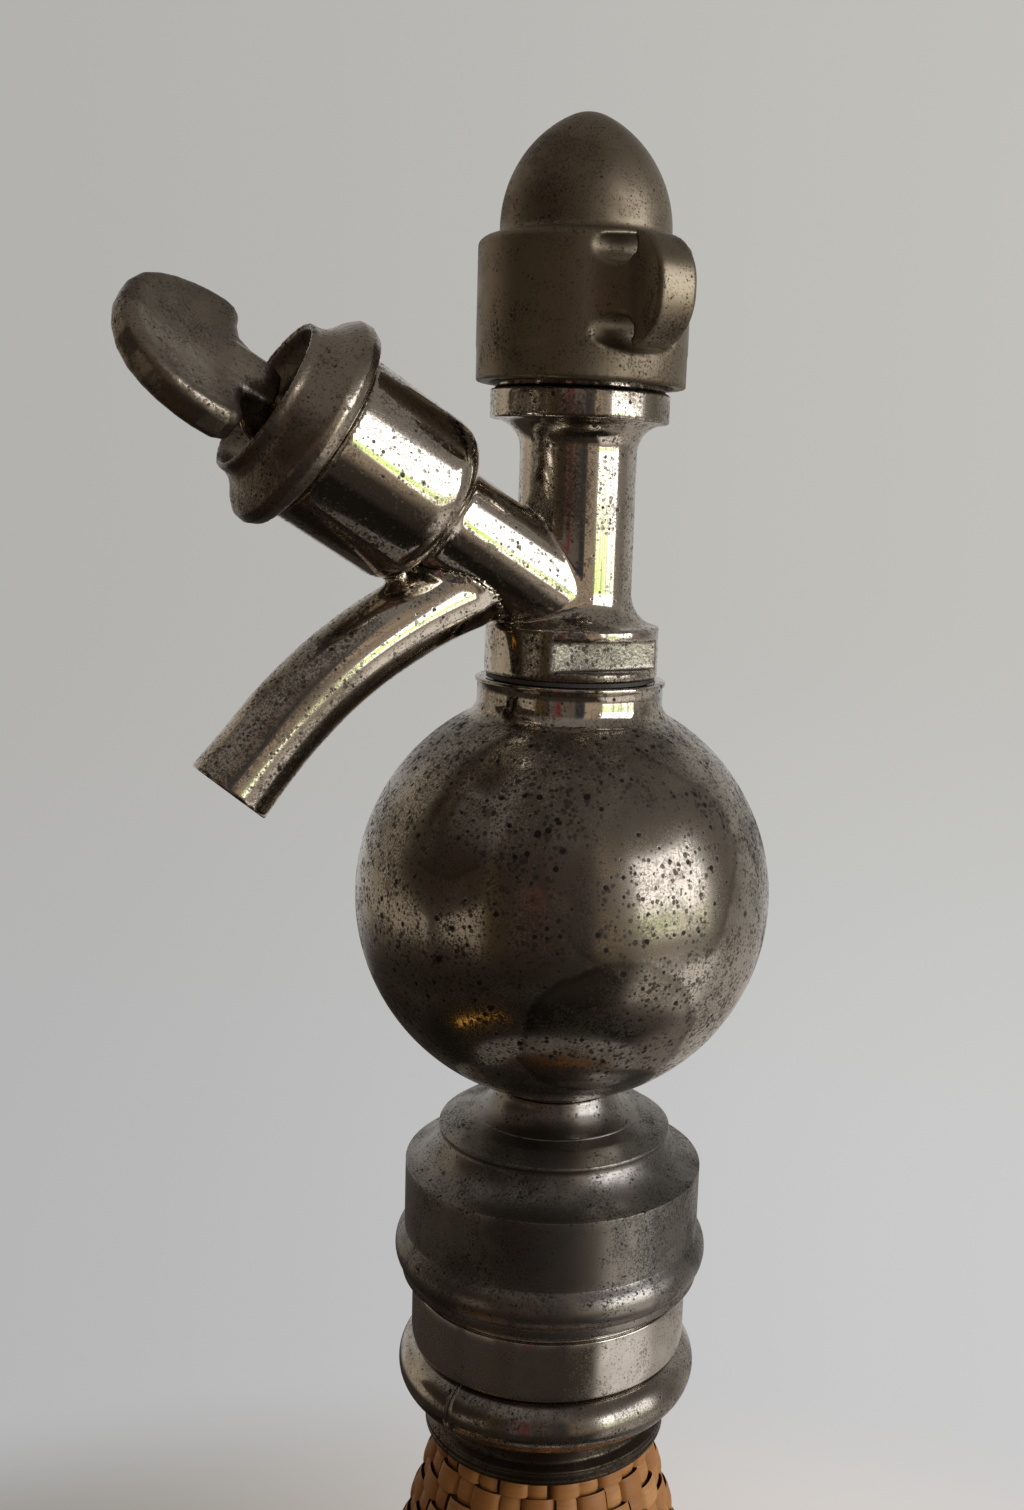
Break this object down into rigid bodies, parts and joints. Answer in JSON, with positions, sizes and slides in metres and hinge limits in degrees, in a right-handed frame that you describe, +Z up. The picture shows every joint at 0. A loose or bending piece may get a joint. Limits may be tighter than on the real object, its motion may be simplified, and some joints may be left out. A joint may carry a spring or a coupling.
{
  "type": "soda siphon",
  "caption": "Cane-covered glass soda siphon with a ball-shaped gas chamber, winged cap over a gas bulb, slanted thumb-lever valve and a curved spout.",
  "frame": {"origin": "centre of the foot's flat underside, on the bottle's axis", "axes": "+Z up along the bottle's axis; the spout and the valve point towards -X; the thumb's face of the lever looks up and towards -Y"},
  "size_m": [0.127, 0.115, 0.4335],
  "materials": {
    "worn_brass": "worn, dull brushed brass with traces of plating",
    "nickel_plate": "worn nickel plate over brass, pitted",
    "ball_plate": "mottled, heavily pitted nickel plate with dark stains",
    "base_plate": "dark tarnished plate with scratches",
    "bright_ring": "polished nickel plate",
    "ring_plate": "satin tarnished plate",
    "white_metal": "smooth cast zinc alloy, tarnished, slightly glossy",
    "lead_washer": "dark fibre",
    "cane": "split cane, satin",
    "bottle_glass": "clear, slightly green",
    "tube_glass": "clear",
    "seal_rubber": "matte",
    "inner_brass": "machined brass",
    "inner_steel": "drawn steel",
    "bulb_steel": "zinc-plated steel"
  },
  "bodies": {
    "flask": {"glass_bottle": "bottle_glass", "wicker_cover": "cane", "wicker_foot": "cane", "wicker_collar": "ring_plate", "split_ring_front": "ring_plate", "split_ring_back": "ring_plate", "neck_nut": "bright_ring"},
    "neck_seal": {"neck_washer": "seal_rubber"},
    "head": {"base_cap": "base_plate", "ball_chamber": "ball_plate", "collar_washer": "lead_washer", "head_body": "nickel_plate", "spout": "nickel_plate", "riser_tube": "tube_glass", "riser_guide": "inner_brass", "dip_sleeve": "seal_rubber", "dip_tube": "tube_glass", "check_seat": "inner_brass", "piercing_pin": "inner_steel", "bulb_washer": "seal_rubber", "valve_seat": "inner_brass", "gland_seal": "seal_rubber", "gland_disc": "inner_brass", "lever_cap": "white_metal", "lever_pin": "inner_steel", "valve_spring": "inner_steel"},
    "check_valve_ball": {"check_ball": "inner_steel"},
    "bulb": {"gas_bulb": "bulb_steel"},
    "cap": {"bulb_cap": "worn_brass", "bulb_pad": "seal_rubber"},
    "lever": {"thumb_lever": "white_metal"},
    "stem": {"valve_stem": "inner_brass", "valve_washer": "seal_rubber"}
  },
  "joints": [
    {"name": "head_lift", "type": "slide", "parent": "flask", "child": "neck_seal", "axis": [0, 0, 1], "range_m": [0, 0.009]},
    {"name": "head_turn", "type": "hinge", "parent": "neck_seal", "child": "head", "pos_m": [0, 0, 0.26], "axis": [0, 0, 1], "range_deg": [0, 1620]},
    {"name": "check_lift", "type": "slide", "parent": "head", "child": "check_valve_ball", "axis": [0, 0, 1], "range_m": [0, 0.0012]},
    {"name": "bulb_lift", "type": "slide", "parent": "head", "child": "bulb", "axis": [0, 0, 1], "range_m": [0, 0.009]},
    {"name": "cap_turn", "type": "hinge", "parent": "bulb", "child": "cap", "pos_m": [0, 0, 0.405], "axis": [0, 0, 1], "range_deg": [0, 2160]},
    {"name": "lever_press", "type": "hinge", "parent": "head", "child": "lever", "pos_m": [-0.0458, 0.00353, 0.3831], "axis": [-0.3311, -0.766, -0.551], "range_deg": [0, 14], "stiffness_Nm_per_rad": 0.8, "springref_deg": -17.19},
    {"name": "stem_lift", "type": "slide", "parent": "head", "child": "stem", "axis": [-0.8572, 0, 0.515], "range_m": [0, 0.00147], "deforming": ["valve_spring"]}
  ],
  "couplings": [
    {"joint": "head_turn", "follows": "head_lift", "rad_per_m": 3141.6},
    {"joint": "cap_turn", "follows": "bulb_lift", "rad_per_m": 4188.8},
    {"joint": "lever_press", "follows": "stem_lift", "rad_per_m": 166.66}
  ]
}
